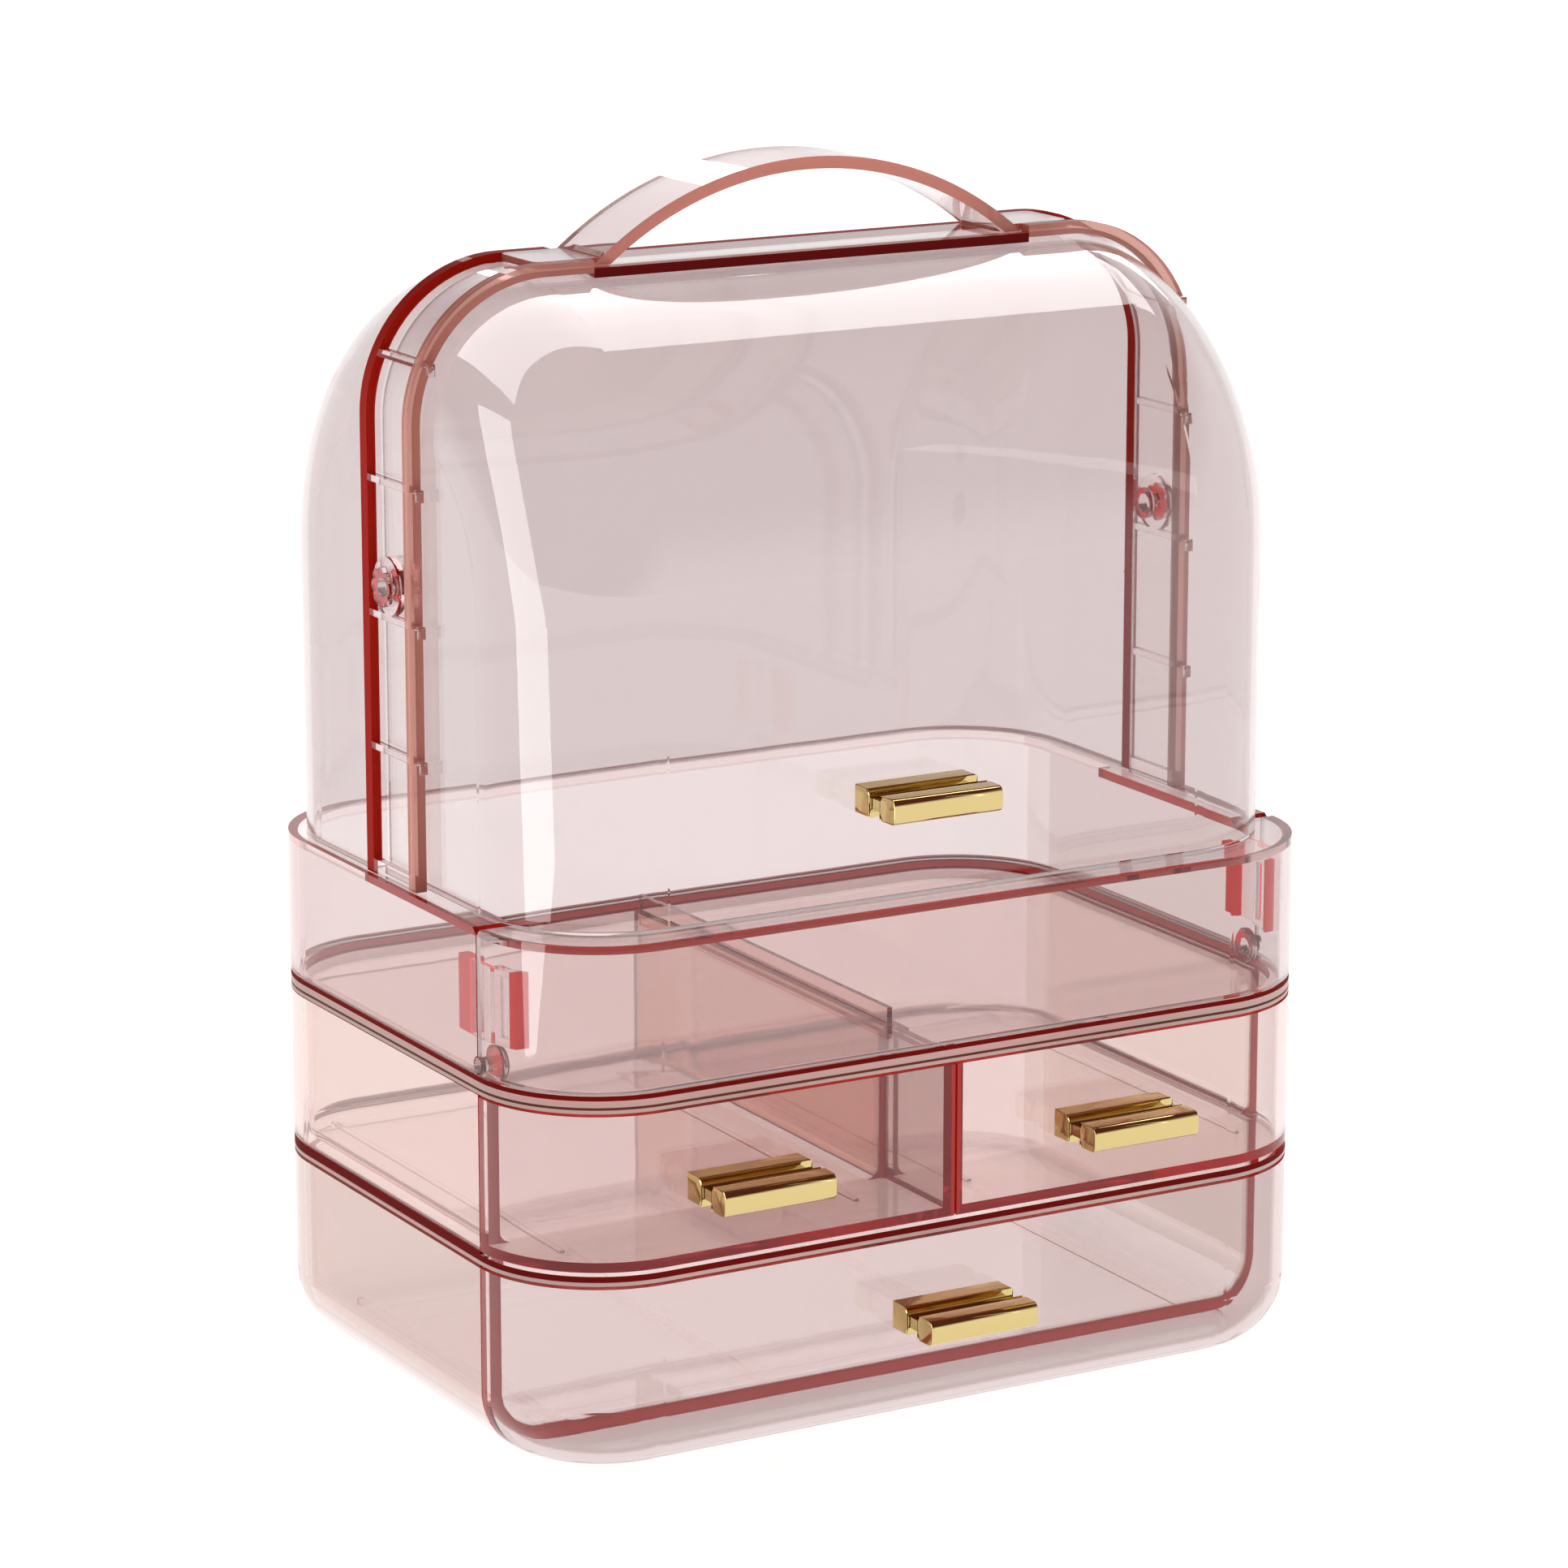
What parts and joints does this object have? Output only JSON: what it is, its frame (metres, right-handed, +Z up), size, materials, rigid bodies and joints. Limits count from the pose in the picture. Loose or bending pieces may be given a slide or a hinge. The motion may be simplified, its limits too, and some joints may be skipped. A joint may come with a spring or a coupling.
{
  "type": "dustproof makeup organizer",
  "caption": "Clear rose-tinted cosmetics organizer with small drawers under an open tray, a lifting domed cover and a bowed carry handle.",
  "frame": {"origin": "centre of the underside, on the surface the organizer stands on", "axes": "+Z up, -Y towards the drawer fronts, +X to the right seen from the front"},
  "size_m": [0.28, 0.2248, 0.3765],
  "materials": {
    "rose_plastic": "clear tinted gloss",
    "clear_plastic": "clear gloss",
    "gold_metal": "polished gold plate"
  },
  "bodies": {
    "body": {"base_case": "rose_plastic", "middle_shelf": "rose_plastic", "upper_case": "rose_plastic", "drawer_divider": "rose_plastic", "top_deck": "rose_plastic", "tray_shell": "rose_plastic", "front_guard": "clear_plastic", "guard_clip_left": "clear_plastic", "guard_clip_right": "clear_plastic", "guard_pin_left": "clear_plastic", "guard_pin_right": "clear_plastic", "arch_frame": "rose_plastic", "carry_handle": "rose_plastic", "rear_cover": "clear_plastic", "pivot_pin_left": "clear_plastic", "pivot_pin_right": "clear_plastic"},
    "cover": {"front_cover": "clear_plastic", "pull_cover": "gold_metal"},
    "lower_tray": {"lower_drawer": "rose_plastic", "pull_lower": "gold_metal"},
    "upper_left_tray": {"upper_left_drawer": "rose_plastic", "pull_upper_left": "gold_metal"},
    "upper_right_tray": {"upper_right_drawer": "rose_plastic", "pull_upper_right": "gold_metal"}
  },
  "joints": [
    {"name": "cover_hinge", "type": "hinge", "parent": "body", "child": "cover", "pos_m": [0, 0, 0.2556], "axis": [-1, 0, 0], "range_deg": [0, 80]},
    {"name": "lower_drawer_slide", "type": "slide", "parent": "body", "child": "lower_tray", "axis": [0, -1, 0], "range_m": [0, 0.12]},
    {"name": "upper_left_drawer_slide", "type": "slide", "parent": "body", "child": "upper_left_tray", "axis": [0, -1, 0], "range_m": [0, 0.12]},
    {"name": "upper_right_drawer_slide", "type": "slide", "parent": "body", "child": "upper_right_tray", "axis": [0, -1, 0], "range_m": [0, 0.12]}
  ]
}
